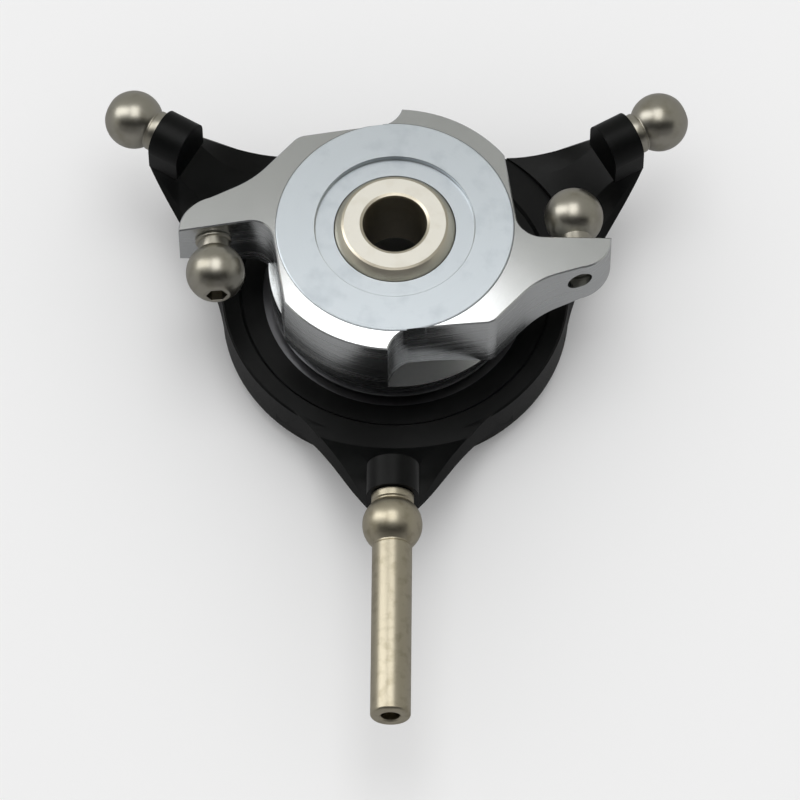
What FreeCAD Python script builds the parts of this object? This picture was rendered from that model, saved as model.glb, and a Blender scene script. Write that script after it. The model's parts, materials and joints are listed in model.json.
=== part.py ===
"""Helicopter swashplate for a 5 mm mast, with a two-arm rotating star.

Frame: origin at the centre of the mast ball, +Z up along the mast, and the
guide pin of the fixed ring towards -Y. Lengths are in millimetres.
"""
import FreeCAD, Part

import math
import os

V = FreeCAD.Vector
X, Y, Z = V(1, 0, 0), V(0, 1, 0), V(0, 0, 1)
ORIGIN = V(0, 0, 0)

# ---- mast ball, its liner and its socket
MAST_BORE_R = 2.51          # 5 mm mast, sliding
MAST_BORE_CHAMFER = 0.30
BALL_R = 5.48
BALL_HALF_HEIGHT = 3.52
LIP_R = 5.54                # spherical lips that stop the ball from lifting out
LINER_IN_R = 5.53
LINER_OUT_R = 6.34
SOCKET_R = 6.40
LINER_HALF_ANGLE = 7.5      # degrees of the sphere that each liner half covers
SHOULDER_Z = 2.15           # pocket shoulder, above and below the ball's centre
LOWER_LIP_Z = -2.75

# ---- retainer cap on top of the star
CAP_R = 9.53
CAP_TOP = 3.05
CAP_BOTTOM = 0.65
CAP_RECESS_R = 6.40
CAP_RECESS_FLOOR = 2.60

# ---- rotating star
STAR_TURN = 4.5             # degrees that the star stands turned at rest
STAR_TOP = 2.97             # height at the cap's edge
STAR_TOP_SLOPE = 0.16       # the crown falls this much for each mm outwards
STAR_BASE = -3.60
STAR_BASE_SLOPE = 0.15      # the arms' underside rises outwards
EDGE_BREAK = 0.10           # chamfer round the crown
LOBE_R = 11.08
ARM_REACH = 17.25
ARM_WALL_Y = 1.55           # wall that carries the linkage ball
WALL_FILLET_R = 2.0
FLAT_X, FLAT_END_X = 9.70, 9.24   # straight cut beside each linkage ball
RECESS_WALL_Y, RECESS_END_Y = 9.44, 9.13
RECESS_FLOOR_IN, RECESS_FLOOR_OUT = -2.30, -3.42
STAR_BALL_X, STAR_BALL_Y = 14.50, 1.50
STUD_HOLE_R = 1.0           # M2
NECK_R = 10.2
NECK_BOTTOM = -6.90
NECK_CHAMFER = 0.25
LAND_R = 9.3                # face that presses on the inner race
HUB_R = 8.48                # bearing seat, threaded at its foot
HUB_BORE_R = 6.3
HUB_BOTTOM = -12.15
SHIM_THICKNESS = 0.15

# ---- ball bearing, 17 x 23 x 4
BEARING_TOP = -7.45
BEARING_WIDTH = 4.0
BEARING_IN_R, BEARING_OUT_R = 8.5, 11.5
SEAT_FIT = 0.02             # gap round the outer race and the cap
RACE_IN_R, RACE_OUT_R = 9.50, 10.50
BEARING_PITCH_R = 10.0
BEARING_BALL_R = 0.794
BEARING_BALLS = 14
GROOVE_R = 0.83
SHIELD_THICKNESS = 0.20
SHIELD_CLEARANCE = 0.06

# ---- fixed outer ring and its arms
RING_R = 14.1
RING_TOP = -6.95
RING_RIM_R = 12.7
RING_DISH = 0.25
RING_LIP_R = 10.75
RING_BOTTOM = -12.35
RING_BEVEL = 1.6
ARM_ANGLES = {"right": 30, "left": 150, "guide": 270}
PIN_PLANE = -1.25           # height of the arms' ball studs and guide pin
BOSS_R = 2.06
BOSS_START, BOSS_END = 19.35, 22.0
BOSS_BASE = -3.40
TURNED_R = 15.1             # circle to which the ring's top was turned
ARM_STATIONS = 7
# rails of an arm from the ring out to the boss: distance out, half width, height
ARM_CREST = (
    (10.4, 8.0, -6.50), (15.0, 3.4, -6.35), (17.4, 1.9, -4.95), (19.6, 1.8, -3.35), (22.0, 1.4, -2.9))
ARM_SHOULDER = ((10.4, 9.3, -6.60), (13.8, 6.0, -6.75), (16.2, 4.5, -5.95), (22.0, 1.95, -3.3))
ARM_KEEL = ((10.4, 9.6, -10.2), (13.8, 6.4, -8.45), (17.4, 4.4, -6.35), (22.0, 2.0, -3.5))

# ---- linkage balls and guide pin
LINK_BALL_R = 2.375
LINK_REACH = 24.6           # mast axis to the outer ball centres
COLLAR_R, COLLAR_LENGTH = 1.68, 0.75
STAR_COLLAR_R, STAR_COLLAR_LENGTH = 1.45, 0.45
STUD_NECK_R = 1.2
SHANK_R = 0.98
SHANK_LENGTH = 2.45
STAR_SHANK_LENGTH = 2.0
SOCKET_FLAT_R = 0.95
SOCKET_ACROSS_FLATS = 1.3
SOCKET_DEPTH = 1.2
PIN_R = 1.58
PIN_END = 41.3
PIN_CHAMFER = 0.25
PIN_HOLE_R, PIN_HOLE_DEPTH = 0.75, 2.0

# ---- rings that hold the bearing
CLIP_THICKNESS = 0.5
CLIP_GROOVE_R = 11.95
CLIP_INNER_R = 10.95
CLAMP_RING_R = 9.35
CLAMP_SLOT_WIDTH = 1.6
CLAMP_SLOT_DEPTH = 0.4


def polar(radius, degrees, height=0.0):
    """Point at a radius and angle about the mast."""
    angle = math.radians(degrees)
    return V(radius * math.cos(angle), radius * math.sin(angle), height)


def on_sphere(radius, height):
    """Point in the XZ half plane on a sphere about the origin."""
    return V(math.sqrt(radius ** 2 - height ** 2), 0, height)


def arc(start, middle, end):
    return Part.Arc(start, middle, end).toShape()


def sphere_arc(radius, z_start, z_end):
    """Meridian arc of a sphere about the origin, between two heights."""
    middle = on_sphere(radius, (z_start + z_end) / 2)
    return arc(on_sphere(radius, z_start), middle, on_sphere(radius, z_end))


def chain(*items):
    """Closed wire from points and edges, with straight lines between them."""
    edges = []
    first = last = None
    for item in items:
        start = item if isinstance(item, FreeCAD.Vector) else item.firstVertex(True).Point
        if last is not None and last.distanceToPoint(start) > 1e-6:
            edges.append(Part.makeLine(last, start))
        if first is None:
            first = start
        if isinstance(item, FreeCAD.Vector):
            last = item
        else:
            edges.append(item)
            last = item.lastVertex(True).Point
    if last.distanceToPoint(first) > 1e-6:
        edges.append(Part.makeLine(last, first))
    return Part.Wire(edges)


def revolve(*profile):
    """Solid of revolution about the mast from a profile in the XZ half plane."""
    return Part.Face(chain(*profile)).revolve(ORIGIN, Z, 360)


def rz(radius, height):
    return V(radius, 0, height)


def tube(inner, outer, bottom, top):
    return revolve(rz(inner, bottom), rz(outer, bottom), rz(outer, top), rz(inner, top))


def cylinder(radius, start, axis, length):
    return Part.makeCylinder(radius, length, start, axis)


def about_mast(shape, degrees):
    """Copy of a shape turned about the mast."""
    turned = shape.copy()
    turned.rotate(ORIGIN, Z, degrees)
    return turned


def tidy(shape):
    """One clean solid."""
    shape = shape.removeSplitter()
    return shape.Solids[0] if len(shape.Solids) == 1 else shape


# ---------------------------------------------------------------- mast ball
def uniball():
    """Truncated ball that slides on the mast."""
    top, bore = BALL_HALF_HEIGHT, MAST_BORE_R
    wide = bore + MAST_BORE_CHAMFER
    return revolve(
        rz(bore, -top + MAST_BORE_CHAMFER), rz(wide, -top), sphere_arc(BALL_R, -top, top),
        rz(wide, top), rz(bore, top - MAST_BORE_CHAMFER))


def liner_half(side):
    """Half of the liner band round the ball's equator, above or below it."""
    angle = math.radians(LINER_HALF_ANGLE)
    inner = sphere_arc(LINER_IN_R, side * LINER_IN_R * math.sin(angle), 0)
    outer = sphere_arc(LINER_OUT_R, 0, side * LINER_OUT_R * math.sin(angle))
    return revolve(inner, outer)


def ball_retainer_cap():
    """Round cap, sunk in the star's crown, with the upper ball lip."""
    chamfer = 0.12
    return revolve(
        rz(CAP_R, CAP_BOTTOM), rz(CAP_R, CAP_TOP - chamfer), rz(CAP_R - chamfer, CAP_TOP),
        rz(CAP_RECESS_R, CAP_TOP), rz(CAP_RECESS_R, CAP_RECESS_FLOOR),
        sphere_arc(LIP_R, CAP_RECESS_FLOOR, SHOULDER_Z),
        sphere_arc(SOCKET_R, SHOULDER_Z, CAP_BOTTOM))


# ---------------------------------------------------------------- rotating star
def half_outline(recessed):
    """Half of the star's outline: one arm's ball side, a lobe, and the next arm's back."""
    wall = -ARM_WALL_Y
    fillet = WALL_FILLET_R
    centre = V(FLAT_X + fillet, wall + fillet, 0)
    corner = fillet * math.sqrt(0.5)
    wall_fillet = arc(V(centre.x, wall, 0), centre + V(-corner, -corner, 0), V(FLAT_X, centre.y, 0))
    flat_end = V(FLAT_END_X, math.sqrt(LOBE_R ** 2 - FLAT_END_X ** 2), 0)
    flat_angle = math.degrees(math.atan2(flat_end.y, flat_end.x))
    parts = [V(ARM_REACH, wall, 0), wall_fillet]
    back_corner = V(-6.75, RECESS_END_Y, 0)
    if recessed:
        step_top = polar(LOBE_R, 83)
        step_foot = V(-0.35, RECESS_WALL_Y, 0)
        parts.append(arc(flat_end, polar(LOBE_R, (flat_angle + 83) / 2), step_top))
        parts.append(arc(step_top, V(0.75, 10.03, 0), step_foot))
    else:
        end_angle = 126
        parts.append(arc(flat_end, polar(LOBE_R, (flat_angle + end_angle) / 2), polar(LOBE_R, end_angle)))
    # back of the next arm: rounded corner, straight run, hollow curve, round tip
    parts.append(arc(back_corner, V(-7.20, 8.98, 0), V(-7.62, 8.65, 0)))
    parts.append(arc(V(-10.0, 6.40, 0), V(-11.15, 5.57, 0), V(-12.5, 4.97, 0)))
    parts.append(arc(V(-14.6, 4.32, 0), V(-16.35, 3.50, 0), V(-ARM_REACH + 0.05, 1.95, 0)))
    parts.append(V(-ARM_REACH, ARM_WALL_Y, 0))
    return parts


def star_outline(recessed):
    """Closed outline of the star, the same after half a turn."""
    parts = half_outline(recessed)
    turned = []
    for item in parts:
        if isinstance(item, FreeCAD.Vector):
            turned.append(item * -1)
        else:
            other = item.copy()
            other.rotate(ORIGIN, Z, 180)
            turned.append(other)
    return Part.Face(chain(*(parts[:-1] + turned[:-1])))


def star_prism(recessed, bottom, top):
    """The star's outline as a straight prism."""
    face = star_outline(recessed)
    face.translate(Z * bottom)
    return face.extrude(Z * (top - bottom))


def crown_height(radius):
    return STAR_TOP - STAR_TOP_SLOPE * (radius - CAP_R)


def star_envelope():
    """Turned blank of the star: sloping crown, stepped seat for the cap, and arms' underside."""
    rim, inner = ARM_REACH + 1, CAP_R - 2
    base_rim = STAR_BASE + STAR_BASE_SLOPE * (rim - LOBE_R)
    return revolve(
        rz(0, STAR_BASE), rz(LOBE_R, STAR_BASE), rz(rim, base_rim), rz(rim, crown_height(rim)),
        rz(inner, crown_height(inner)), rz(0, crown_height(inner)))


def star_hub():
    """Neck below the lobes, with the land and the bearing seat."""
    return revolve(
        rz(0, STAR_BASE + 0.5), rz(NECK_R, STAR_BASE + 0.5), rz(NECK_R, NECK_BOTTOM + NECK_CHAMFER),
        rz(NECK_R - NECK_CHAMFER, NECK_BOTTOM), rz(LAND_R, NECK_BOTTOM),
        rz(LAND_R, BEARING_TOP + SHIM_THICKNESS), rz(HUB_R, BEARING_TOP + SHIM_THICKNESS),
        rz(HUB_R, HUB_BOTTOM + 0.2), rz(HUB_R - 0.2, HUB_BOTTOM), rz(0, HUB_BOTTOM))


def star_cavity():
    """Everything turned out of the star: cap seat, ball socket and mast clearance."""
    above = STAR_TOP + 1
    return revolve(
        rz(0, above), rz(CAP_R + SEAT_FIT, above), rz(CAP_R + SEAT_FIT, CAP_BOTTOM),
        rz(SOCKET_R, CAP_BOTTOM),
        sphere_arc(SOCKET_R, 0, -SHOULDER_Z), sphere_arc(LIP_R, -SHOULDER_Z, LOWER_LIP_Z),
        rz(HUB_BORE_R, -4.6), rz(HUB_BORE_R, HUB_BOTTOM - 1), rz(0, HUB_BOTTOM - 1))


def recess_floor():
    """Turned blank that keeps only the bevelled ledge under the two side recesses."""
    return revolve(
        rz(0, STAR_BASE), rz(LOBE_R, STAR_BASE), rz(LOBE_R, RECESS_FLOOR_OUT),
        rz(RECESS_END_Y, RECESS_FLOOR_IN), rz(0, RECESS_FLOOR_IN))


def on_crown(edge):
    """Whether an edge runs along the outline of the star's sloping crown."""
    start, end = edge.ParameterRange
    points = [edge.valueAt(start + share * (end - start)) for share in (0.1, 0.5, 0.9)]
    radii = [math.hypot(point.x, point.y) for point in points]
    inside = min(radii) < RECESS_END_Y - 0.5
    return not inside and all(
        abs(point.z - crown_height(radius)) < 0.001 for point, radius in zip(points, radii))


def rotating_star():
    """Star with two arms and two lobes, bored for the ball and its studs."""
    arms = star_prism(True, STAR_BASE - 1, STAR_TOP + 1).common(star_envelope())
    arms = arms.makeChamfer(EDGE_BREAK, [edge for edge in arms.Edges if on_crown(edge)])
    ledge = star_prism(False, STAR_BASE, STAR_TOP).common(recess_floor())
    body = arms.fuse(ledge).fuse(star_hub()).cut(star_cavity())
    for side in (1, -1):
        start = V(side * STAR_BALL_X, side * 3.0, 0)
        body = body.cut(cylinder(STUD_HOLE_R, start, Y * -side, 12))
    return about_mast(tidy(body), STAR_TURN)


# ---------------------------------------------------------------- ball bearing
def raceway():
    return Part.makeTorus(BEARING_PITCH_R, GROOVE_R, V(0, 0, BEARING_TOP - BEARING_WIDTH / 2), Z)


def race(inner, outer, shield_seat):
    """Bearing race with its ball groove and the steps for the shields."""
    bottom = BEARING_TOP - BEARING_WIDTH
    ring = tube(inner, outer, bottom, BEARING_TOP).cut(raceway())
    if shield_seat:
        for low in (bottom, BEARING_TOP - SHIELD_THICKNESS):
            ring = ring.cut(tube(inner - 0.5, shield_seat, low, low + SHIELD_THICKNESS))
    return ring


def bearing_shield(low):
    """Thin washer pressed into the outer race, clear of the inner one."""
    outer = RACE_OUT_R + 0.3 - SEAT_FIT
    return tube(RACE_IN_R + SHIELD_CLEARANCE, outer, low, low + SHIELD_THICKNESS)


def bearing_ball_places():
    height = BEARING_TOP - BEARING_WIDTH / 2
    step = 360 / BEARING_BALLS
    return [polar(BEARING_PITCH_R, step * (index + 0.5), height) for index in range(BEARING_BALLS)]


def bearing_balls():
    return Part.makeCompound([Part.makeSphere(BEARING_BALL_R, place) for place in bearing_ball_places()])


def bearing_cage():
    """Ring between the races with a round pocket for each ball."""
    middle = BEARING_TOP - BEARING_WIDTH / 2
    cage = tube(RACE_IN_R + 0.25, RACE_OUT_R - 0.25, middle - 1.1, middle + 1.1)
    for place in bearing_ball_places():
        outward = V(place.x, place.y, 0).normalize()
        cage = cage.cut(cylinder(BEARING_BALL_R + 0.05, place - outward * 1.5, outward, 3))
    return tidy(cage)


# ---------------------------------------------------------------- fixed ring
def ring_blank():
    """Turned ring: dished top with a rim, bearing pocket from below, bevelled foot."""
    dish = RING_TOP - RING_DISH
    pocket_foot = BEARING_TOP - BEARING_WIDTH
    pocket_r = BEARING_OUT_R + SEAT_FIT
    return revolve(
        rz(RING_LIP_R, dish), rz(RING_RIM_R - RING_DISH, dish), rz(RING_RIM_R, RING_TOP),
        rz(RING_R - 0.15, RING_TOP), rz(RING_R, RING_TOP - 0.15), rz(RING_R, RING_BOTTOM + RING_BEVEL),
        rz(RING_R - RING_BEVEL, RING_BOTTOM), rz(pocket_r, RING_BOTTOM),
        rz(pocket_r, pocket_foot - CLIP_THICKNESS), rz(CLIP_GROOVE_R, pocket_foot - CLIP_THICKNESS),
        rz(CLIP_GROOVE_R, pocket_foot), rz(pocket_r, pocket_foot),
        rz(pocket_r, BEARING_TOP), rz(RING_LIP_R, BEARING_TOP))


def rail(points):
    """Smooth curve through the points of an arm's rail."""
    curve = Part.BSplineCurve()
    curve.interpolate([V(*point) for point in points])
    return curve


def rail_point(curve, distance):
    """Half width and height of a rail at a distance from the mast."""
    low, high = curve.FirstParameter, curve.LastParameter
    for _ in range(40):
        middle = (low + high) / 2
        if curve.value(middle).x < distance:
            low = middle
        else:
            high = middle
    point = curve.value(low)
    return point.y, point.z


def arm_section(rails, distance):
    """Six-cornered section across an arm, widest at the keel."""
    right = [rail_point(curve, distance) for curve in rails]
    corners = [V(distance, half, height) for half, height in right]
    corners += [V(distance, -half, height) for half, height in reversed(right)]
    return Part.makePolygon(corners + corners[:1])


def ring_arm():
    """Arm along +X that sweeps up and narrows to the boss for a stud."""
    rails = [rail(points) for points in (ARM_CREST, ARM_SHOULDER, ARM_KEEL)]
    start, end = ARM_KEEL[0][0], BOSS_END
    step = (end - start) / (ARM_STATIONS - 1)
    sections = [arm_section(rails, start + step * index) for index in range(ARM_STATIONS)]
    blade = Part.makeLoft(sections, True, False)
    length = BOSS_END - BOSS_START
    boss = cylinder(BOSS_R, V(BOSS_START, 0, PIN_PLANE), X, length)
    block = Part.makeBox(length, 2 * BOSS_R, PIN_PLANE - BOSS_BASE, V(BOSS_START, -BOSS_R, BOSS_BASE))
    return blade.fuse(boss).fuse(block)


def outer_ring():
    """Fixed ring with three swept-up arms, one piece."""
    room = tube(0, RING_R - 0.6, RING_BOTTOM - 1, RING_TOP + 8)
    turned = tube(0, TURNED_R, RING_TOP, RING_TOP + 8)
    body = ring_blank()
    for degrees in ARM_ANGLES.values():
        arm = ring_arm().cut(room).cut(turned)
        body = body.fuse(about_mast(arm, degrees))
    for degrees in ARM_ANGLES.values():
        start = polar(BOSS_END - SHANK_LENGTH, degrees, PIN_PLANE)
        body = body.cut(cylinder(STUD_HOLE_R, start, polar(1, degrees), SHANK_LENGTH + 1))
    return tidy(body)


def bearing_retaining_ring():
    """Open snap ring in the groove below the bearing."""
    top = BEARING_TOP - BEARING_WIDTH
    ring = tube(CLIP_INNER_R, CLIP_GROOVE_R - 0.05, top - CLIP_THICKNESS, top)
    gap = Part.makeBox(3, 3.2, 2, V(CLIP_INNER_R - 1, -1.6, top - 1))
    return ring.cut(about_mast(gap, 90))


def bearing_shim():
    return tube(BEARING_IN_R, LAND_R, BEARING_TOP, BEARING_TOP + SHIM_THICKNESS)


def clamp_ring():
    """Threaded ring that holds the inner race on the star, with four spanner slots."""
    top = BEARING_TOP - BEARING_WIDTH
    ring = tube(BEARING_IN_R, CLAMP_RING_R, HUB_BOTTOM, top)
    half = CLAMP_SLOT_WIDTH / 2
    for quarter in range(4):
        slot = Part.makeBox(3, CLAMP_SLOT_WIDTH, 1, V(HUB_R - 1, -half, HUB_BOTTOM + CLAMP_SLOT_DEPTH - 1))
        ring = ring.cut(about_mast(slot, 45 + 90 * quarter))
    return ring


# ---------------------------------------------------------------- studs and pin
def hex_socket(face_at):
    """Hexagonal key socket cut in from a face across the stud's axis."""
    radius = SOCKET_ACROSS_FLATS / math.sqrt(3)
    corners = [V(face_at + 0.1, radius * math.cos(turn), radius * math.sin(turn))
               for turn in (math.radians(60 * side) for side in range(7))]
    return Part.Face(Part.makePolygon(corners)).extrude(X * -(SOCKET_DEPTH + 0.1))


def stud(collar_r, collar_length, shank_length, centre):
    """Linkage ball stud along +X with its seat at the origin."""
    ball = Part.makeSphere(LINK_BALL_R, X * centre)
    face_at = centre + math.sqrt(LINK_BALL_R ** 2 - SOCKET_FLAT_R ** 2)
    ball = ball.cut(Part.makeBox(2, 6, 6, V(face_at, -3, -3)))
    body = ball.fuse(cylinder(STUD_NECK_R, ORIGIN, X, centre))
    body = body.fuse(cylinder(collar_r, ORIGIN, X, collar_length))
    body = body.fuse(cylinder(SHANK_R, X * -shank_length, X, shank_length + 0.1))
    return tidy(body.cut(hex_socket(face_at)))


def outer_ball_stud(degrees):
    """Stud in one of the ring's arms."""
    piece = stud(COLLAR_R, COLLAR_LENGTH, SHANK_LENGTH, LINK_REACH - BOSS_END)
    piece.translate(V(BOSS_END, 0, PIN_PLANE))
    return about_mast(piece, degrees)


def star_ball_stud(turn):
    """Stud in one of the star's arms, square to the arm's wall."""
    piece = stud(STAR_COLLAR_R, STAR_COLLAR_LENGTH, STAR_SHANK_LENGTH, STAR_BALL_Y + ARM_WALL_Y)
    piece.rotate(ORIGIN, Z, 90)
    piece.translate(V(STAR_BALL_X, -ARM_WALL_Y, 0))
    return about_mast(piece, STAR_TURN + turn)


def guide_pin():
    """Linkage ball with a long pin that slides in the anti-rotation guide."""
    centre = LINK_REACH - BOSS_END
    tip = PIN_END - BOSS_END
    body = Part.makeSphere(LINK_BALL_R, X * centre)
    body = body.fuse(cylinder(COLLAR_R, ORIGIN, X, COLLAR_LENGTH))
    body = body.fuse(cylinder(STUD_NECK_R, ORIGIN, X, centre))
    body = body.fuse(cylinder(SHANK_R, X * -SHANK_LENGTH, X, SHANK_LENGTH + 0.1))
    body = body.fuse(cylinder(PIN_R, X * centre, X, tip - PIN_CHAMFER - centre))
    body = body.fuse(Part.makeCone(PIN_R, PIN_R - PIN_CHAMFER, PIN_CHAMFER, X * (tip - PIN_CHAMFER), X))
    body = tidy(body.cut(cylinder(PIN_HOLE_R, X * (tip - PIN_HOLE_DEPTH), X, PIN_HOLE_DEPTH + 1)))
    body.translate(V(BOSS_END, 0, PIN_PLANE))
    return about_mast(body, ARM_ANGLES["guide"])


def build():
    """Every node of the part and its shape."""
    bottom = BEARING_TOP - BEARING_WIDTH
    return {
        "uniball": uniball(),
        "ball_liner_upper": liner_half(1),
        "ball_liner_lower": liner_half(-1),
        "ball_retainer_cap": ball_retainer_cap(),
        "rotating_star": rotating_star(),
        "star_right_ball_stud": star_ball_stud(0),
        "star_left_ball_stud": star_ball_stud(180),
        "bearing_inner_race": race(BEARING_IN_R, RACE_IN_R, 0),
        "bearing_outer_race": race(RACE_OUT_R, BEARING_OUT_R, RACE_OUT_R + 0.3),
        "bearing_shield_upper": bearing_shield(BEARING_TOP - SHIELD_THICKNESS),
        "bearing_shield_lower": bearing_shield(bottom),
        "bearing_balls": bearing_balls(),
        "bearing_cage": bearing_cage(),
        "bearing_shim": bearing_shim(),
        "clamp_ring": clamp_ring(),
        "outer_ring": outer_ring(),
        "bearing_retaining_ring": bearing_retaining_ring(),
        "right_ball_stud": outer_ball_stud(ARM_ANGLES["right"]),
        "left_ball_stud": outer_ball_stud(ARM_ANGLES["left"]),
        "guide_pin": guide_pin(),
    }


def main():
    os.makedirs("parts", exist_ok=True)
    for name, shape in build().items():
        if not shape.isValid():
            print("not valid:", name)
        print(f"{name:24s} solids {len(shape.Solids):2d}  volume {shape.Volume:9.2f} mm3")
        shape.exportStep(f"parts/{name}.step")


main()
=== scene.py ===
"""Looks and studio for the model-helicopter swashplate.

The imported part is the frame: the milled star, the fixed ring and the bearing
stay as they are and get their finishes here. The turned pieces that show the
most detail (the mast ball, the retainer cap, the linkage balls and the guide
pin) are modelled again, in millimetres, and set in place of their plain nodes.
"""

import json
import logging
import math
from collections.abc import Callable, Sequence
from dataclasses import dataclass, field
from enum import Enum

import bpy
from mathutils import Matrix, Vector


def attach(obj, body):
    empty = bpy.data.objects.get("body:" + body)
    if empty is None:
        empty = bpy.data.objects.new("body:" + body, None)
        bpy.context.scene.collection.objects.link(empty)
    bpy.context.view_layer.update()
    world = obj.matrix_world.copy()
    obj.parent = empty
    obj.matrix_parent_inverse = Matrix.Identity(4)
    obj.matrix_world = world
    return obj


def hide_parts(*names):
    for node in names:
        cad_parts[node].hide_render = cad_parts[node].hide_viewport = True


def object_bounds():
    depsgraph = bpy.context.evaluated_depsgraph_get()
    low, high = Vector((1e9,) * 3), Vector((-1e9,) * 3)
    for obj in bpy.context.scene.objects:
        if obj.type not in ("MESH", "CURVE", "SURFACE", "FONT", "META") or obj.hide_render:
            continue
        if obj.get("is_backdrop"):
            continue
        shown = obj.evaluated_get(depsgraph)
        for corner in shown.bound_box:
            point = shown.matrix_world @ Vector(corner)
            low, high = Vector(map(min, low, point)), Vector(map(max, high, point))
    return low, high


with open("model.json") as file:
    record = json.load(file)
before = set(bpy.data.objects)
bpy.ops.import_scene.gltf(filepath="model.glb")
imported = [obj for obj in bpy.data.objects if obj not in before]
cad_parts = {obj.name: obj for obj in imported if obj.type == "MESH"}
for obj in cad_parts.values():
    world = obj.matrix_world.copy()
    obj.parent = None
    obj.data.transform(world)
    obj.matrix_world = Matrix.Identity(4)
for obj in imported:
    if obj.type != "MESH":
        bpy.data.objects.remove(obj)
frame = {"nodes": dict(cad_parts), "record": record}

LOG = logging.getLogger("swashplate")
MM = 0.001             # a millimetre, in metres
WELD_MM = 0.0005       # points of a turned piece that are nearer than this are one
SMOOTH_ANGLE = 13.0    # faces that meet at less than this angle, in degrees, are shaded as one
Profile = list[tuple[float, float]]


# ------------------------------------------------------------------ materials
def linear(code: str) -> tuple[float, float, float, float]:
    """Turn an sRGB hex colour into a linear colour.

    Args:
        code: The colour, such as "#A0B0C0".

    Returns:
        Linear red, green and blue, and an alpha of 1.
    """
    parts = [int(code[i:i + 2], 16) / 255 for i in (1, 3, 5)]
    red, green, blue = (
        part / 12.92 if part <= 0.04045 else ((part + 0.055) / 1.055) ** 2.4 for part in parts
    )
    return red, green, blue, 1.0


def add_node(tree: bpy.types.NodeTree, kind: str, inputs: dict | None = None, **settings) -> bpy.types.Node:
    """Add a node with its settings, values and links.

    Args:
        tree: The node tree that gets the node.
        kind: The node's Blender type name, without the "ShaderNode" prefix.
        inputs: Socket name or number to a value, or to an output socket to link.
        **settings: Properties of the node.

    Returns:
        The new node.
    """
    node = tree.nodes.new("ShaderNode" + kind)
    for name, value in settings.items():
        setattr(node, name, value)
    for name, value in (inputs or {}).items():
        if isinstance(value, bpy.types.NodeSocket):
            tree.links.new(value, node.inputs[name])
        else:
            node.inputs[name].default_value = value
    return node


class Grain(Enum):
    """The way that a tool left its marks on a surface."""

    PLAIN = "plain"      # plated, blasted or anodised: an even, fine grain
    TURNED = "turned"    # lathe marks, in rings round the piece's axis
    MILLED = "milled"    # cutter marks that run level along upright walls, with quiet tops


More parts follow.
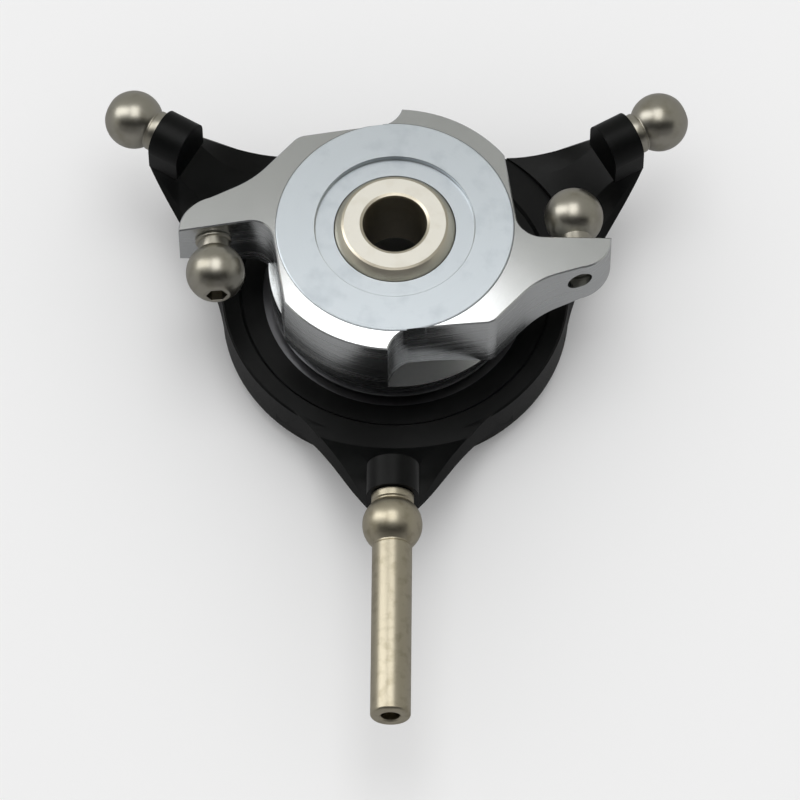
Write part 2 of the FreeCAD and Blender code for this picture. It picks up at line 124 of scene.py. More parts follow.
@dataclass(frozen=True)
class Finish:
    """A finish: what the surface is made of and how it was worked.

    Attributes:
        name: Common name of the material and its finish.
        colour: Main colour, sRGB hex.
        tint: Colour in the worn or stained patches, sRGB hex.
        metallic: 1 for bare or plated metal.
        roughness: Middle value of the roughness.
        spread: How far the roughness varies about that.
        grain: The kind of tool marks.
        mark_mm: Distance between tool marks, in millimetres.
        patch_mm: Size of the patches of tint, in millimetres.
        depth_mm: Depth of the marks, in millimetres.
        patch_amount: Share of tint in a patch.
        gloss: Strength of a dielectric's mirror layer, 0.5 being usual.
    """

    name: str
    colour: str
    tint: str
    metallic: float = 1.0
    roughness: float = 0.3
    spread: float = 0.08
    grain: Grain = Grain.PLAIN
    mark_mm: float = 0.2
    patch_mm: float = 3.0
    depth_mm: float = 0.004
    patch_amount: float = 0.3
    gloss: float = 0.5

    def marks(self, tree: bpy.types.NodeTree, place: bpy.types.NodeSocket) -> bpy.types.NodeSocket:
        """Pattern of the tool marks, from 0 to 1.

        Args:
            tree: The material's node tree.
            place: Object coordinates.

        Returns:
            The socket that carries the pattern.
        """
        rate = 1 / (self.mark_mm * MM)
        streak = 60    # how much longer a cutter mark is than it is wide
        if self.grain is Grain.PLAIN:
            speck = add_node(tree, "TexNoise", {"Vector": place, "Scale": rate, "Detail": 3.0})
            return speck.outputs["Fac"]
        if self.grain is Grain.TURNED:
            flat = add_node(tree, "VectorMath", {0: place, 1: (1.0, 1.0, 0.0)}, operation="MULTIPLY")
            radius = add_node(tree, "VectorMath", {0: flat.outputs[0]}, operation="LENGTH")
            rings = add_node(
                tree, "TexNoise", {"W": radius.outputs["Value"], "Scale": rate, "Detail": 2.0},
                noise_dimensions="1D")
            return rings.outputs["Fac"]
        stretch = add_node(tree, "Mapping", {"Vector": place, "Scale": (rate / streak, rate / streak, rate)})
        level = add_node(
            tree, "TexNoise", {"Vector": stretch.outputs[0], "Scale": 1.0, "Detail": 4.0, "Roughness": 0.6})
        # The marks show on upright walls; a top has only a quiet speck.
        speck = add_node(tree, "TexNoise", {"Vector": place, "Scale": 3 * rate, "Detail": 2.0})
        quiet = add_node(
            tree, "MapRange", {"Value": speck.outputs["Fac"], "To Min": 0.42, "To Max": 0.58})
        facing = add_node(tree, "TexCoord")
        parts = add_node(tree, "SeparateXYZ", {0: facing.outputs["Normal"]})
        upward = add_node(tree, "Math", {0: parts.outputs["Z"]}, operation="ABSOLUTE")
        share = add_node(
            tree, "MapRange", {"Value": upward.outputs[0], "From Min": 0.45, "From Max": 0.75})
        both = add_node(
            tree, "Mix", {0: share.outputs[0], 2: level.outputs["Fac"], 3: quiet.outputs[0]},
            data_type="FLOAT")
        return both.outputs[0]

    def material(self) -> bpy.types.Material:
        """Make the finish's material, or return it if it is there.

        Returns:
            A procedural material on Object coordinates.
        """
        if self.name in bpy.data.materials:
            return bpy.data.materials[self.name]
        made = bpy.data.materials.new(self.name)
        made.use_nodes = True
        tree = made.node_tree
        tree.nodes.clear()
        place = add_node(tree, "TexCoord").outputs["Object"]
        marks = self.marks(tree, place)
        patches = add_node(
            tree, "TexNoise", {"Vector": place, "Scale": 1 / (self.patch_mm * MM), "Detail": 4.0})
        worn = add_node(
            tree, "MapRange",
            {"Value": patches.outputs["Fac"], "From Min": 0.50, "From Max": 0.72,
             "To Max": self.patch_amount})
        colour = add_node(
            tree, "Mix", {0: worn.outputs[0], 6: linear(self.colour), 7: linear(self.tint)}, data_type="RGBA")
        low, high = self.roughness - self.spread, self.roughness + self.spread
        rough = add_node(
            tree, "MapRange",
            {"Value": marks, "From Min": 0.3, "From Max": 0.7, "To Min": max(low, 0.03), "To Max": high})
        bump = add_node(
            tree, "Bump", {"Height": marks, "Strength": 1.0, "Distance": self.depth_mm * MM})
        shader = add_node(
            tree, "BsdfPrincipled",
            {"Base Color": colour.outputs[2], "Roughness": rough.outputs[0], "Normal": bump.outputs[0],
             "Metallic": self.metallic, "Specular IOR Level": self.gloss})
        out = add_node(tree, "OutputMaterial")
        tree.links.new(shader.outputs[0], out.inputs["Surface"])
        return made


# Real tool marks and plating grain are a few hundredths of a millimetre apart, too fine to
# show, so each mark_mm below is drawn several times as coarse as that.

# Milled and polished aluminium: light and clear, with level cutter marks that draw out reflections.
MILLED_ALUMINIUM = Finish(
    "milled aluminium", "#DFE1E2", "#CDCFD0", roughness=0.24, spread=0.07, grain=Grain.MILLED,
    mark_mm=0.30, patch_mm=5.0, depth_mm=0.010)
# Fine-turned aluminium: satin, a little bluer, with rings that can only just be seen.
TURNED_ALUMINIUM = Finish(
    "turned aluminium", "#CDD4DA", "#BBC3CA", roughness=0.34, spread=0.06, grain=Grain.TURNED,
    mark_mm=0.11, patch_mm=2.0, depth_mm=0.0015, patch_amount=0.7)
# Black anodised aluminium: a hard satin oxide skin that stays nearly black, with a soft sheen.
BLACK_ANODISED = Finish(
    "black anodised aluminium", "#070808", "#0E0F0F", metallic=0.0, roughness=0.38, spread=0.06,
    mark_mm=0.09, patch_mm=2.0, depth_mm=0.0010, patch_amount=0.6, gloss=0.16)
# Satin nickel plate on steel: warm grey, with soft highlights.
SATIN_NICKEL = Finish(
    "satin nickel plate", "#B5B1A6", "#97917F", roughness=0.32, spread=0.02, mark_mm=0.10,
    patch_mm=1.4, depth_mm=0.0002, patch_amount=0.5)
# Champagne nickel plate, lightly tarnished: yellower than the balls.
TARNISHED_NICKEL = Finish(
    "tarnished nickel plate", "#BFB7A3", "#958B73", roughness=0.36, spread=0.03, mark_mm=0.14,
    patch_mm=0.9, depth_mm=0.0003, patch_amount=0.5)
# The mast ball's plate is the creamiest of all, dull on its face.
CREAM_NICKEL = Finish(
    "champagne nickel plate", "#DDD5C3", "#C3B89F", roughness=0.34, spread=0.05, mark_mm=0.08,
    patch_mm=1.5, depth_mm=0.0006)
# The same plate on the mast ball's ground faces: rougher, and painted paler than the plate as a painted
# highlight, so it stays pale from any side.
GROUND_NICKEL_PAINTED_HIGHLIGHT = Finish(
    "ground nickel face with painted highlight", "#EEEBE2", "#DBD5C6", roughness=0.52, spread=0.05, mark_mm=0.08,
    patch_mm=1.2, depth_mm=0.0006)
# Ground bearing steel: bright and even.
GROUND_STEEL = Finish(
    "ground bearing steel", "#C4C5C7", "#ABACAE", roughness=0.18, spread=0.04, grain=Grain.TURNED,
    mark_mm=0.08, depth_mm=0.0008)
# Cold-rolled sheet of the shields and the shim, dulled by a film of grease.
ROLLED_STEEL = Finish(
    "cold rolled steel", "#77777A", "#626265", roughness=0.36, spread=0.06, grain=Grain.TURNED,
    mark_mm=0.10, depth_mm=0.0010)
# Oil-blackened spring steel of the retaining ring.
BLACKENED_STEEL = Finish(
    "blackened spring steel", "#26262A", "#35322E", roughness=0.40, spread=0.08, mark_mm=0.12)
# Low-friction plastic of the liner: off-white and waxy.
LINER_PLASTIC = Finish(
    "low-friction plastic", "#D8D2C0", "#C6BFAB", metallic=0.0, roughness=0.45, spread=0.05, mark_mm=0.15)


# ------------------------------------------------------------------ bench
def set_alone(piece: bpy.types.Object) -> None:
    """Select one object, and make it the active one.

    Args:
        piece: The object to work on.
    """
    bpy.ops.object.select_all(action="DESELECT")
    piece.select_set(True)
    bpy.context.view_layer.objects.active = piece


def edit(piece: bpy.types.Object, work: Callable[[], None]) -> None:
    """Run one stretch of work on the whole of an object in edit mode.

    Args:
        piece: The object to work on.
        work: The operators to run, with everything selected.
    """
    set_alone(piece)
    bpy.ops.object.mode_set(mode="EDIT")
    bpy.ops.mesh.select_all(action="SELECT")
    work()
    bpy.ops.object.mode_set(mode="OBJECT")


def turn_on_lathe(name: str, profile: Profile, closed: bool, steps: int = 72) -> bpy.types.Object:
    """Turn a piece about the X axis from its profile, in millimetres.

    A single corner is drawn out along the profile and spun round. An open
    profile starts and ends on the axis; a closed one makes a ring.

    Args:
        name: The new object's name.
        profile: Points (along the axis, radius).
        closed: Whether the last point joins up with the first.
        steps: Number of faces round the axis.

    Returns:
        The turned object.
    """
    along, radius = profile[0]
    bpy.ops.object.select_all(action="DESELECT")
    bpy.ops.mesh.primitive_plane_add(size=1, location=(along, 0, radius))
    piece = bpy.context.active_object
    piece.name = name
    bpy.ops.object.transform_apply(location=True)

    def draw_and_spin() -> None:
        """Draw the profile from one corner and spin it."""
        bpy.ops.mesh.merge(type="CENTER")
        here = profile[0]
        for there in profile[1:] + (profile[:1] if closed else []):
            step = (there[0] - here[0], 0, there[1] - here[1])
            bpy.ops.mesh.extrude_region_move(TRANSFORM_OT_translate={"value": step})
            here = there
        bpy.ops.mesh.select_all(action="SELECT")
        bpy.ops.mesh.remove_doubles(threshold=WELD_MM)
        bpy.ops.mesh.spin(steps=steps, angle=math.tau, center=(0, 0, 0), axis=(1, 0, 0))
        bpy.ops.mesh.select_all(action="SELECT")
        bpy.ops.mesh.remove_doubles(threshold=WELD_MM)
        bpy.ops.mesh.normals_make_consistent(inside=False)

    edit(piece, draw_and_spin)
    return piece


def cut_away(piece: bpy.types.Object, cutter: bpy.types.Object) -> None:
    """Cut one object out of another, and throw the cutter away.

    Args:
        piece: The object that is cut.
        cutter: The shape to take out.
    """
    set_alone(piece)
    bpy.ops.object.modifier_add(type="BOOLEAN")
    cut = piece.modifiers[-1]
    cut.object = cutter
    cut.operation = "DIFFERENCE"
    cut.solver = "EXACT"
    bpy.ops.object.modifier_apply(modifier=cut.name)
    bpy.data.objects.remove(cutter)


def break_edges(piece: bpy.types.Object, width: float, angle: float = 35.0) -> None:
    """Round off an object's sharp edges.

    Args:
        piece: The object, still in millimetres.
        width: Width of the rounding in millimetres.
        angle: Smallest angle of an edge that is rounded, in degrees.
    """
    set_alone(piece)
    bpy.ops.object.modifier_add(type="BEVEL")
    bevel = piece.modifiers[-1]
    bevel.width = width
    bevel.segments = 2
    bevel.limit_method = "ANGLE"
    bevel.angle_limit = math.radians(angle)
    bpy.ops.object.modifier_apply(modifier=bevel.name)


def set_in_frame(piece: bpy.types.Object, place: Vector, axis: Vector) -> None:
    """Move a piece from the bench, in millimetres along X, to its place in the frame.

    Args:
        piece: The finished piece.
        place: Where its origin goes, in metres.
        axis: The direction that its X axis takes.
    """
    turn = axis.normalized().to_track_quat("X", "Z").to_matrix().to_4x4()
    piece.matrix_world = Matrix.Translation(place) @ turn @ Matrix.Scale(MM, 4)
    set_alone(piece)
    bpy.ops.object.transform_apply(location=True, rotation=True, scale=True)
    bpy.ops.object.shade_smooth_by_angle(angle=math.radians(SMOOTH_ANGLE))


def arc_points(radius: float, start: float, end: float, steps: int, centre: float = 0.0) -> Profile:
    """Points on a circle about the axis, for a profile.

    Args:
        radius: Radius of the circle in millimetres.
        start: Angle of the first point from +X, in degrees.
        end: Angle of the last point, in degrees.
        steps: Number of stretches between them.
        centre: Place of the circle's centre along the axis.

    Returns:
        The points, with the first and the last.
    """
    angles = [math.radians(start + (end - start) * index / steps) for index in range(steps + 1)]
    return [(centre + radius * math.cos(angle), radius * math.sin(angle)) for angle in angles]


# ------------------------------------------------------------------ pieces
@dataclass
class Seat:
    """A place in the frame where a turned piece stands.

    Attributes:
        node: The CAD node that the piece takes the place of.
        mount: The mount that gives its place and direction.
        body: The body that it rides on.
    """

    node: str
    mount: str
    body: str

    def record(self) -> dict:
        """The mount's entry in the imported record."""
        return next(item for item in frame["record"]["mounts"] if item["name"] == self.mount)

    @property
    def place(self) -> Vector:
        """The mount's position in metres."""
        return Vector(self.record()["pos_m"])

    @property
    def axis(self) -> Vector:
        """The mount's direction."""
        return Vector(self.record()["axis"])


@dataclass
class Turned:
    """A turned piece, which is made on the bench and then set in the frame.

    Attributes:
        seat: Where it goes.
        finish: Its material.
        slot: The record's material slot; not used.
    """

    seat: Seat
    finish: Finish
    slot: str

    def shape(self) -> bpy.types.Object:
        """Make the piece on the bench, in millimetres."""
        raise NotImplementedError

    def dress(self, piece: bpy.types.Object) -> None:
        """Give the placed piece its material."""
        piece.data.materials.clear()
        piece.data.materials.append(self.finish.material())

    def build(self) -> None:
        """Make, place and dress the piece, and hide the node it stands for."""
        piece = self.shape()
        set_in_frame(piece, self.seat.place, self.seat.axis)
        self.dress(piece)
        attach(piece, self.seat.body)
        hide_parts(self.seat.node)
        LOG.info("%s: %d faces", piece.name, len(piece.data.polygons))


@dataclass
class LinkBall(Turned):
    """A piece with a linkage ball that stands on a collar.

    Sizes are in millimetres, and places along the axis count from the ball's centre.

    Attributes:
        seat_mm: From the ball's centre back to the face it is screwed against.
        collar_r, collar_mm: Collar's radius and length.
        chamfer_mm: Width of the collar's chamfers.
        shank_mm: Length of the shank in the arm.
        ball_r: Ball's radius.
        ball_steps: Number of stretches in the ball's outline.
    """

    seat_mm: float = 2.6
    collar_r: float = 1.68
    collar_mm: float = 0.75
    chamfer_mm: float = 0.1
    shank_mm: float = 2.4
    ball_r: float = 2.37
    ball_steps: int = 26

    @property
    def front(self) -> float:
        """Place of the collar's face towards the ball."""
        return -self.seat_mm + self.collar_mm

    @property
    def rim_r(self) -> float:
        """Radius of the collar's faces, inside their chamfers."""
        return self.collar_r - self.chamfer_mm

    def collar(self) -> Profile:
        """Profile of the collar, with a chamfer on each side.

        Returns:
            Its points, from the seat up to the face towards the ball.
        """
        foot, front = -self.seat_mm, self.front
        return [
            (foot, self.rim_r), (foot + self.chamfer_mm, self.collar_r),
            (front - self.chamfer_mm, self.collar_r), (front, self.rim_r)]

    def angle_at(self, radius: float) -> float:
        """Angle from the axis, in degrees, where the ball's surface has a radius."""
        return math.degrees(math.asin(radius / self.ball_r))


@dataclass
class BallStud(LinkBall):
    """A linkage ball with a key socket and a threaded shank.

    Attributes:
        neck_r: Radius of the neck between the collar and the ball.
        least_neck_mm: Shortest neck that is turned; a nearer collar meets the ball.
        thread_r, core_r: Thread's outer and inner radius.
        lead_mm: Plain length in front of the first crest.
        pitch_mm: Distance between the thread's crests.
        crest: Shares of the pitch where a crest starts, ends, and is back at the core.
        flat_r: Radius of the flat on the ball's front.
        flat_edge_mm: Width of the edge round that flat.
        flat_edge_turn: Angle that the edge takes off the ball, in degrees.
        key_mm: Key socket's width across flats.
        key_depth: Key socket's depth.
        break_mm: Width of the broken edges.
    """

    neck_r: float = 1.2
    least_neck_mm: float = 0.05
    thread_r: float = 0.97
    core_r: float = 0.80
    lead_mm: float = 0.1
    pitch_mm: float = 0.4
    crest: tuple[float, float, float] = (0.42, 0.55, 0.95)
    flat_r: float = 1.10
    flat_edge_mm: float = 0.03
    flat_edge_turn: float = 2.0
    key_mm: float = 1.5
    key_depth: float = 1.2
    break_mm: float = 0.035

    def shank(self) -> Profile:
        """Profile of the threaded shank.

        Returns:
            Its points, from the end up to the collar.
        """
        end = -self.seat_mm - self.shank_mm
        points = [(end, 0.0), (end, self.core_r)]
        for turn in range(int(self.shank_mm / self.pitch_mm) - 1):
            start = end + self.lead_mm + turn * self.pitch_mm
            places = [start + self.pitch_mm * share for share in self.crest]
            points += zip(places, (self.thread_r, self.thread_r, self.core_r))
        points.append((-self.seat_mm, self.core_r))
        return points

    def shape(self) -> bpy.types.Object:
        """Turn the stud, cut its key socket and break its edges.

        Returns:
            The stud, in millimetres along X.
        """
        profile = self.shank() + self.collar()
        root_r = self.rim_r
        neck_at = -math.sqrt(self.ball_r ** 2 - self.neck_r ** 2)
        if self.front < neck_at - self.least_neck_mm:
            root_r = self.neck_r
            profile += [(self.front, root_r)]
        flat_angle = self.angle_at(self.flat_r) + self.flat_edge_turn
        profile += arc_points(self.ball_r, 180 - self.angle_at(root_r), flat_angle, self.ball_steps)
        flat_at = math.sqrt(self.ball_r ** 2 - self.flat_r ** 2)
        profile += [(flat_at, self.flat_r - self.flat_edge_mm), (flat_at, 0.0)]
        piece = turn_on_lathe(self.seat.node + "_turned", profile, closed=False)
        bpy.ops.mesh.primitive_cylinder_add(
            vertices=6, radius=self.key_mm / math.sqrt(3), depth=2 * self.key_depth,
            location=(flat_at, 0, 0), rotation=(0, math.pi / 2, 0))
        cut_away(piece, bpy.context.active_object)
        break_edges(piece, self.break_mm, angle=40)
        return piece


@dataclass
class StarStud(BallStud):
    """The stud on an arm of the star: a slimmer, shorter collar and a longer neck."""

    seat_mm: float = 3.05
    collar_r: float = 1.45
    collar_mm: float = 0.35
    shank_mm: float = 2.0
    neck_r: float = 1.28


@dataclass
class GuidePin(LinkBall):
    """The long pin of the anti-rotation guide, with its linkage ball at the root.

    Attributes:
        tip_mm: From the ball's centre to the pin's end.
        pin_r: Pin's radius.
        relief_mm: How much thinner the pin is where it leaves the ball.
        relief_from, relief_to: From the ball to where the pin widens, and to its full radius.
        round_mm: Radius of the rounding at the pin's end.
        shank_r, shank_chamfer: Radius of the shank, and the chamfer at its end.
        hole_r, hole_mm: Centre hole's radius and depth.
        hole_chamfer: Width of the chamfer at the hole's mouth.
        drill_mm: Length of the cone that the drill leaves in the hole's floor.
    """

    tip_mm: float = 16.7
    pin_r: float = 1.58
    relief_mm: float = 0.06
    relief_from: float = 0.12
    relief_to: float = 0.25
    round_mm: float = 0.25
    shank_r: float = 0.97
    shank_chamfer: float = 0.15
    hole_r: float = 0.75
    hole_mm: float = 2.0
    hole_chamfer: float = 0.12
    drill_mm: float = 0.4

    def shape(self) -> bpy.types.Object:
        """Turn the pin, with its end rounded off round the centre hole.

        Returns:
            The pin, in millimetres along X.
        """
        foot = -self.seat_mm
        end = foot - self.shank_mm
        profile: Profile = [
            (end, 0.0), (end, self.shank_r - self.shank_chamfer),
            (end + self.shank_chamfer, self.shank_r), (foot, self.shank_r)]
        profile += self.collar()
        waist_r = self.pin_r - self.relief_mm
        waist_angle = self.angle_at(waist_r)
        profile += arc_points(self.ball_r, 180 - self.angle_at(self.rim_r), waist_angle, self.ball_steps)
        root = self.ball_r * math.cos(math.radians(waist_angle))
        profile += [(root + self.relief_from, waist_r), (root + self.relief_to, self.pin_r)]
        shoulder = arc_points(self.round_mm, 90, 0, steps=8, centre=self.tip_mm - self.round_mm)
        profile += [(along, radius + self.pin_r - self.round_mm) for along, radius in shoulder]
        profile += [
            (self.tip_mm, self.hole_r + self.hole_chamfer), (self.tip_mm - self.hole_chamfer, self.hole_r)]
        floor = self.tip_mm - self.hole_mm
        profile += [(floor, self.hole_r), (floor - self.drill_mm, 0.0)]
        return turn_on_lathe(self.seat.node + "_turned", profile, closed=False)


@dataclass
class MastBall(Turned):
    """The truncated ball that slides on the mast.

    Attributes:
        ball_r: Ball's radius, in millimetres like the rest.
        half_mm: From the ball's centre to each face.
        bore_r: Radius of the bore for the mast.
        bore_chamfer: Width of the chamfer at the bore's mouths.
        edge_mm: Width of the edge round each face.
        edge_turn: Angle that the edge takes off the ball, in degrees.
    """

    ball_r: float = 5.48
    half_mm: float = 3.52
    bore_r: float = 2.51
    bore_chamfer: float = 0.30
    edge_mm: float = 0.12
    edge_turn: float = 1.2

    def shape(self) -> bpy.types.Object:
        """Turn the ball with a rounded edge round each face.

        Returns:
            The ball, in millimetres along X.
        """
        face = self.half_mm
        face_r = math.sqrt(self.ball_r ** 2 - face ** 2)
        stop = math.degrees(math.asin(face_r / self.ball_r)) + self.edge_turn
        mouth_r = self.bore_r + self.bore_chamfer
        profile: Profile = [(-face + self.bore_chamfer, self.bore_r), (-face, mouth_r)]
        profile += [(-face, face_r - self.edge_mm)]
        profile += arc_points(self.ball_r, 180 - stop, stop, steps=40)
        profile += [(face, face_r - self.edge_mm), (face, mouth_r)]
        # the upper mouth is rounded in, by one more corner between the chamfer's two
        profile += [(face - self.bore_chamfer * 0.3, self.bore_r + self.bore_chamfer * 0.25)]
        profile += [(face - self.bore_chamfer, self.bore_r)]
        return turn_on_lathe(self.seat.node + "_turned", profile, closed=True, steps=112)

    def dress(self, piece: bpy.types.Object) -> None:
        """Plate the ball, and give its two flat faces the ground finish, which is painted paler than the
        plate as a painted highlight.

        Args:
            piece: The ball, in its place.
        """
        super().dress(piece)
        # the flat faces get the rougher ground finish, painted paler than the plate: a painted highlight
        piece.data.materials.append(GROUND_NICKEL_PAINTED_HIGHLIGHT.material())
        for polygon in piece.data.polygons:
            if abs(polygon.normal.dot(self.seat.axis)) > 0.99:
                polygon.material_index = 1


@dataclass
class RetainerCap(Turned):
    """The round cap in the star's crown, with the upper lip of the ball socket.

    Sizes are in millimetres, and heights count from the mast ball's centre.

    Attributes:
        cap_r: Cap's radius.
        top, bottom: Heights of the cap's upper and lower face.
        recess_r, recess_floor: Radius and height of the shallow recess round the ball.
        lip_r: Radius of the sphere that the lip round the ball follows.
        socket_r: Radius of the sphere that the liner sits in.
        shoulder: Height where the lip gives way to that socket.
        edge_mm: Width of the cap's broken upper edge.
        recess_edge, recess_fillet: Widths of the recess's broken edge and of its inner corner.
        wall_start, wall_end: Two points (x, y) of the star's recess wall, in the star's own frame.
        star_turn: Turn of the star's own frame about the mast, in degrees.
        block_mm: Length, depth and height of the blocks that trim the cap at the walls.
    """

    cap_r: float = 9.535
    top: float = 3.05
    bottom: float = 0.65
    recess_r: float = 6.40
    recess_floor: float = 2.60
    lip_r: float = 5.54
    socket_r: float = 6.40
    shoulder: float = 2.15
    edge_mm: float = 0.10
    recess_edge: float = 0.05
    recess_fillet: float = 0.06
    wall_start: tuple[float, float] = (-0.28, 9.442)
    wall_end: tuple[float, float] = (-6.75, 9.13)
    star_turn: float = 4.5
    block_mm: tuple[float, float, float] = (2.5, 1.0, 8.0)

    def shape(self) -> bpy.types.Object:
        """Turn the cap, with its recess, lip and socket.

        Returns:
            The cap, in millimetres along X.
        """
        def ring_at(radius: float, height: float) -> float:
            """Radius of the ring that a height cuts out of a sphere."""
            return math.sqrt(radius ** 2 - height ** 2)

        top, floor, edge = self.top, self.recess_floor, self.recess_edge
        corner = self.edge_mm * 0.3
        profile: Profile = [(self.bottom, ring_at(self.socket_r, self.bottom)), (self.bottom, self.cap_r)]
        profile += [(top - self.edge_mm, self.cap_r), (top - corner, self.cap_r - corner)]
        profile += [(top, self.cap_r - self.edge_mm)]
        profile += [(top, self.recess_r + edge), (top - edge, self.recess_r)]
        profile += [(floor + edge, self.recess_r), (floor, self.recess_r - self.recess_fillet)]
        heights = [floor + (self.shoulder - floor) * step / 4 for step in range(5)]
        profile += [(height, ring_at(self.lip_r, height)) for height in heights]
        heights = [self.shoulder + (self.bottom - self.shoulder) * step / 5 for step in range(5)]
        profile += [(height, ring_at(self.socket_r, height)) for height in heights]
        return turn_on_lathe(self.seat.node + "_turned", profile, closed=True, steps=144)

    def wall_block(self, half_turn: float) -> bpy.types.Object:
        """Set up a block outside one of the star's two recess walls.

        Args:
            half_turn: 0 for one wall, 180 for the other, in degrees.

        Returns:
            The block, with one face along the wall.
        """
        start, end = (Vector((*corner, 0)) * MM for corner in (self.wall_start, self.wall_end))
        along = (end - start).normalized()
        outward = Vector((along.y, -along.x, 0))
        length, depth, height = (side * MM for side in self.block_mm)
        axes = Matrix((along, outward, Vector((0, 0, -1)))).transposed().to_4x4()
        middle = start + along * (length / 2) + outward * (depth / 2)
        turn = Matrix.Rotation(math.radians(self.star_turn + half_turn), 4, "Z")
        bpy.ops.object.select_all(action="DESELECT")
        bpy.ops.mesh.primitive_cube_add(size=1)
        block = bpy.context.active_object
        block.matrix_world = (
            turn @ Matrix.Translation(middle) @ axes @ Matrix.Diagonal((length, depth, height, 1)))
        bpy.ops.object.transform_apply(location=True, rotation=True, scale=True)
        return block

    def dress(self, piece: bpy.types.Object) -> None:
        """Trim the cap flush with the recess walls, and give its outside the star's finish.

        Args:
            piece: The cap, in its place.
        """
        for half_turn in (0, 180):
            cut_away(piece, self.wall_block(half_turn))
        super().dress(piece)
        piece.data.materials.append(MILLED_ALUMINIUM.material())
        for polygon in piece.data.polygons:
            if polygon.center.xy.length > 0.95 * self.cap_r * MM and abs(polygon.normal.z) < 0.3:
                polygon.material_index = 1
                polygon.use_smooth = False


@dataclass
class FrameNodes:
    """The nodes that keep their shape and only get a finish.

    Attributes:
        finishes: Each node's finish.
    """

    finishes: dict[str, Finish] = field(default_factory=lambda: {
        "outer_ring": BLACK_ANODISED,
        "rotating_star": MILLED_ALUMINIUM,
        "clamp_ring": TURNED_ALUMINIUM,
        "bearing_inner_race": GROUND_STEEL,
        "bearing_outer_race": GROUND_STEEL,
        "bearing_balls": GROUND_STEEL,
        "bearing_cage": ROLLED_STEEL,
        "bearing_shim": ROLLED_STEEL,
        "bearing_shield_upper": ROLLED_STEEL,
        "bearing_shield_lower": ROLLED_STEEL,
        "bearing_retaining_ring": BLACKENED_STEEL,
        "ball_liner_upper": LINER_PLASTIC,
        "ball_liner_lower": LINER_PLASTIC,
    })

    def dress(self) -> None:
        """Give each node its material."""
        for name, finish in self.finishes.items():
            for slot in frame["nodes"][name].material_slots:
                slot.material = finish.material()
            LOG.info("%s: %s", name, finish.name)


# ------------------------------------------------------------------ studio
@dataclass
class Camera:
    """The camera, aimed at a point of the frame.

    Attributes:
        aim_mm: The point it looks at, in millimetres.
        azimuth: Where it stands about Z, from -Y towards +X, in degrees.
        elevation: Its height above the horizon, in degrees.
        roll: Its turn about the line of sight, in degrees.
        distance_mm: From the lens to the point, in millimetres.
        lens_mm, sensor_mm: Focal length and sensor width, in millimetres.
        near, far: The distances that it sees between, in metres.
    """

    aim_mm: tuple[float, float, float] = (0.51, -13.61, -0.95)
    azimuth: float = 0.92
    elevation: float = 61.63
    roll: float = -0.5
    distance_mm: float = 515.5
    lens_mm: float = 292.6
    sensor_mm: float = 36.0
    near: float = 0.01
    far: float = 20.0

    def build(self) -> None:
        """Add the camera and make it the scene's own."""
        turn, lift, roll = (math.radians(angle) for angle in (self.azimuth, self.elevation, self.roll))
        back = Vector((math.sin(turn) * math.cos(lift), -math.cos(turn) * math.cos(lift), math.sin(lift)))
        level = Vector((math.cos(turn), math.sin(turn), 0.0))
        upright = back.cross(level)
        right = level * math.cos(roll) + upright * math.sin(roll)
        up = upright * math.cos(roll) - level * math.sin(roll)
        stand = Matrix((right, up, back)).transposed().to_4x4()
        stand.translation = (Vector(self.aim_mm) + back * self.distance_mm) * MM
        lens = bpy.data.cameras.new("camera")
        lens.lens = self.lens_mm
        lens.sensor_width = self.sensor_mm
        lens.clip_start = self.near
        lens.clip_end = self.far
        camera = bpy.data.objects.new("camera", lens)
        camera.matrix_world = stand
        bpy.context.scene.collection.objects.link(camera)
        bpy.context.scene.camera = camera


def direction(azimuth: float, elevation: float) -> Vector:
    """Unit vector towards a place in the room.

    Args:
        azimuth: Angle about Z from +Y towards -X, in degrees.
        elevation: Height above the horizon, in degrees.

    Returns:
        The vector.
    """
    turn, lift = math.radians(azimuth), math.radians(elevation)
    return Vector((-math.sin(turn) * math.cos(lift), math.cos(turn) * math.cos(lift), math.sin(lift)))


@dataclass
class Softbox:
    """A square lamp behind a diffuser, aimed at the part.

    Attributes:
        name: The lamp's name.
        azimuth, elevation: Where it stands, in degrees; see direction().
        distance: Distance in metres.
        width, height: Sides in metres.
        brightness: Brightness of the diffuser, where 1 is a white wall in full light.
        casts: Whether it lights matt surfaces too, or only shows in reflections.
    """

    name: str
    azimuth: float
    elevation: float
    distance: float
    width: float
    height: float
    brightness: float
    casts: bool = True

    def build(self) -> None:
        """Add the lamp."""
        away = direction(self.azimuth, self.elevation)
        lamp = bpy.data.lights.new(self.name, "AREA")
        lamp.shape = "RECTANGLE"
        lamp.size = self.width
        lamp.size_y = self.height
        lamp.energy = self.brightness * self.width * self.height * math.pi
        stand = bpy.data.objects.new(self.name, lamp)
        stand.matrix_world = (
            Matrix.Translation(away * self.distance) @ away.to_track_quat("Z", "Y").to_matrix().to_4x4())
        stand.visible_camera = False
        stand.visible_diffuse = self.casts
        bpy.context.scene.collection.objects.link(stand)


@dataclass
class Card:
    """A flat card that only reflections show, for the polished metal to mirror.

    Attributes:
        name: The card's name.
        colour: Its sRGB hex colour.
        azimuth, elevation: Where it stands, in degrees; see direction().
        distance: Distance in metres.
        width, height: Sides in metres.
    """

    name: str
    colour: str
    azimuth: float
    elevation: float
    distance: float
    width: float
    height: float

    def build(self) -> None:
        """Add the card, facing the part."""
        away = direction(self.azimuth, self.elevation)
        bpy.ops.object.select_all(action="DESELECT")
        bpy.ops.mesh.primitive_plane_add(size=1)
        card = bpy.context.active_object
        card.name = self.name
        card.matrix_world = (
            Matrix.Translation(away * self.distance) @ away.to_track_quat("Z", "Y").to_matrix().to_4x4()
            @ Matrix.Diagonal((self.width, self.height, 1, 1)))
        bpy.ops.object.transform_apply(location=True, rotation=True, scale=True)
        only_reflected(card)
        card.data.materials.append(matt(self.name, self.colour))
        card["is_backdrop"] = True


def only_reflected(thing: bpy.types.Object) -> None:
    """Let a studio object show in reflections alone.

    Args:
        thing: The object.
    """
    thing.visible_camera = False
    thing.visible_diffuse = False
    thing.visible_shadow = False


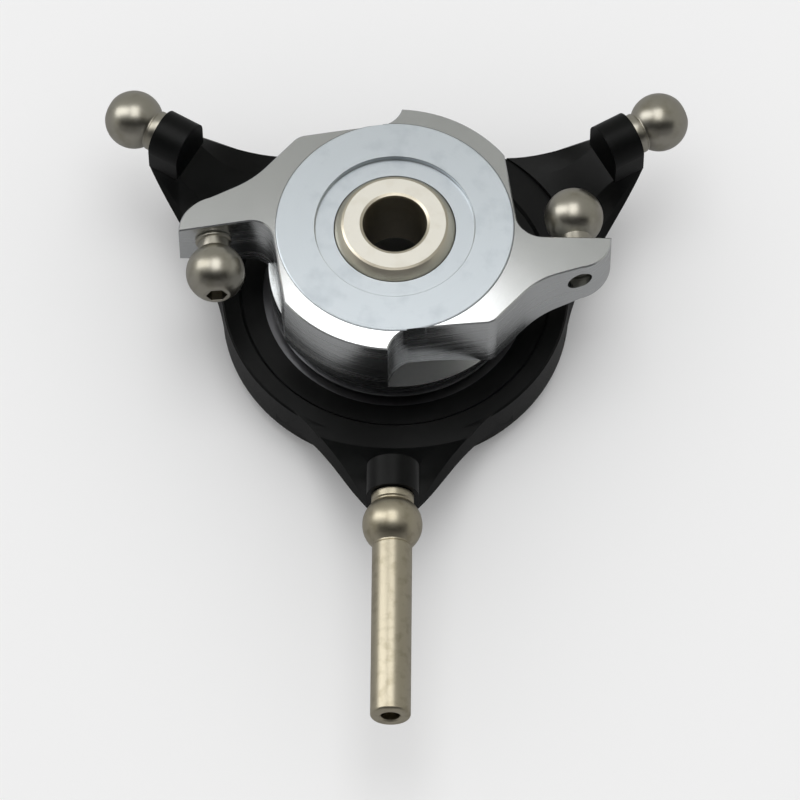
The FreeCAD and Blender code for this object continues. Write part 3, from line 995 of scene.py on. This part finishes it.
def matt(name: str, colour: str) -> bpy.types.Material:
    """A matt surface for the studio.

    Args:
        name: The material's name.
        colour: Its sRGB hex colour.

    Returns:
        The material.
    """
    made = bpy.data.materials.new(name)
    made.use_nodes = True
    tree = made.node_tree
    tree.nodes.clear()
    shader = add_node(tree, "BsdfDiffuse", {"Color": linear(colour)})
    out = add_node(tree, "OutputMaterial")
    tree.links.new(shader.outputs[0], out.inputs["Surface"])
    return made


@dataclass
class Studio:
    """A small light tent: pale floor, grey cloth walls, two softboxes and three cards.

    Attributes:
        floor_colour, cloth_colour: Colours of the floor and the cloth, sRGB hex.
        room_strength: Strength of the room's light on matt surfaces.
        shown_strength: Strength of the room as the camera and reflections show it.
        floor_radius, tent_radius, tent_height: Sizes in metres.
        tent_dip: How far the tent reaches below the floor, in metres.
        floor_gap: Gap between the part and the floor, in metres.
        boxes: The softboxes.
        cards: The cards.
    """

    floor_colour: str = "#F4F4F4"
    cloth_colour: str = "#BCBCB7"
    room_strength: float = 0.78
    shown_strength: float = 0.86
    floor_radius: float = 2.0
    tent_radius: float = 1.6
    tent_height: float = 1.5
    tent_dip: float = 0.01
    floor_gap: float = 0.02 * MM
    boxes: list[Softbox] = field(default_factory=lambda: [
        Softbox("softbox over the part", 0.0, 85.0, 0.25, 0.14, 0.19, 1.9),
        Softbox("softbox on the left", 75.0, 42.0, 0.25, 0.12, 0.24, 2.0, casts=False),
    ])
    cards: list[Card] = field(default_factory=lambda: [
        Card("dark card", "#161616", 180.0, 49.0, 0.6, 2.0, 0.42),
        Card("grey card below it", "#868686", 180.0, 15.0, 0.6, 2.0, 0.34),
        Card("grey card under the part", "#A6A6A6", 0.0, -90.0, 0.0123, 0.6, 0.6),
    ])

    def room(self) -> None:
        """Light the room evenly, and show it pale."""
        world = bpy.data.worlds.new("room")
        world.use_nodes = True
        bpy.context.scene.world = world
        tree = world.node_tree
        tree.nodes.clear()
        rays = add_node(tree, "LightPath")
        seen = add_node(
            tree, "Math", {0: rays.outputs["Is Camera Ray"], 1: rays.outputs["Is Glossy Ray"]},
            operation="MAXIMUM")
        clear = add_node(
            tree, "Math", {0: seen.outputs[0], 1: rays.outputs["Is Transmission Ray"]}, operation="MAXIMUM")
        strength = add_node(
            tree, "MapRange",
            {"Value": clear.outputs[0], "To Min": self.room_strength, "To Max": self.shown_strength})
        glow = add_node(
            tree, "Background", {"Color": (1.0, 1.0, 1.0, 1.0), "Strength": strength.outputs[0]})
        out = add_node(tree, "OutputWorld")
        tree.links.new(glow.outputs[0], out.inputs["Surface"])

    def floor(self, height: float) -> None:
        """Lay the floor under the part.

        Args:
            height: Height of the floor, in metres.
        """
        bpy.ops.object.select_all(action="DESELECT")
        bpy.ops.mesh.primitive_circle_add(
            vertices=96, radius=self.floor_radius, fill_type="NGON", location=(0, 0, height))
        ground = bpy.context.active_object
        ground.name = "floor"
        ground.data.materials.append(matt("matt white board", self.floor_colour))
        ground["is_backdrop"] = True

    def tent(self, height: float) -> None:
        """Stand the grey cloth tent over the part, where only reflections show it.

        Args:
            height: Height of the part's lowest point, in metres.
        """
        bpy.ops.object.select_all(action="DESELECT")
        bpy.ops.mesh.primitive_cylinder_add(
            vertices=96, radius=self.tent_radius, depth=self.tent_height,
            location=(0, 0, height + self.tent_height / 2 - self.tent_dip))
        cloth = bpy.context.active_object
        cloth.name = "tent"
        only_reflected(cloth)
        cloth.data.materials.append(matt("grey tent cloth", self.cloth_colour))
        cloth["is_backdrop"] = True

    def build(self) -> None:
        """Set up the whole studio."""
        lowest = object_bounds()[0][2]
        self.room()
        self.floor(lowest - self.floor_gap)
        self.tent(lowest)
        for item in (*self.boxes, *self.cards):
            item.build()


def main() -> None:
    """Build the looks of the part, then the studio and the camera."""
    logging.basicConfig(level=logging.INFO, format="%(name)s: %(message)s")
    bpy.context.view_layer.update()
    bpy.context.scene.view_settings.view_transform = "Standard"
    FrameNodes().dress()
    pieces: Sequence[Turned] = (
        MastBall(Seat("uniball", "mast_bore", "mast_ball"), CREAM_NICKEL, "nickel_ball"),
        RetainerCap(Seat("ball_retainer_cap", "mast_bore", "star"), TURNED_ALUMINIUM, "satin_aluminium"),
        BallStud(Seat("right_ball_stud", "ring_ball_right", "fixed_ring"), SATIN_NICKEL, "nickel_stud"),
        BallStud(Seat("left_ball_stud", "ring_ball_left", "fixed_ring"), SATIN_NICKEL, "nickel_stud"),
        StarStud(Seat("star_right_ball_stud", "star_ball_right", "star"), SATIN_NICKEL, "nickel_stud"),
        StarStud(Seat("star_left_ball_stud", "star_ball_left", "star"), SATIN_NICKEL, "nickel_stud"),
        GuidePin(Seat("guide_pin", "guide_ball", "fixed_ring"), TARNISHED_NICKEL, "nickel_pin"),
    )
    for piece in pieces:
        piece.build()
    Studio().build()
    Camera().build()


if __name__ == "__main__":
    main()
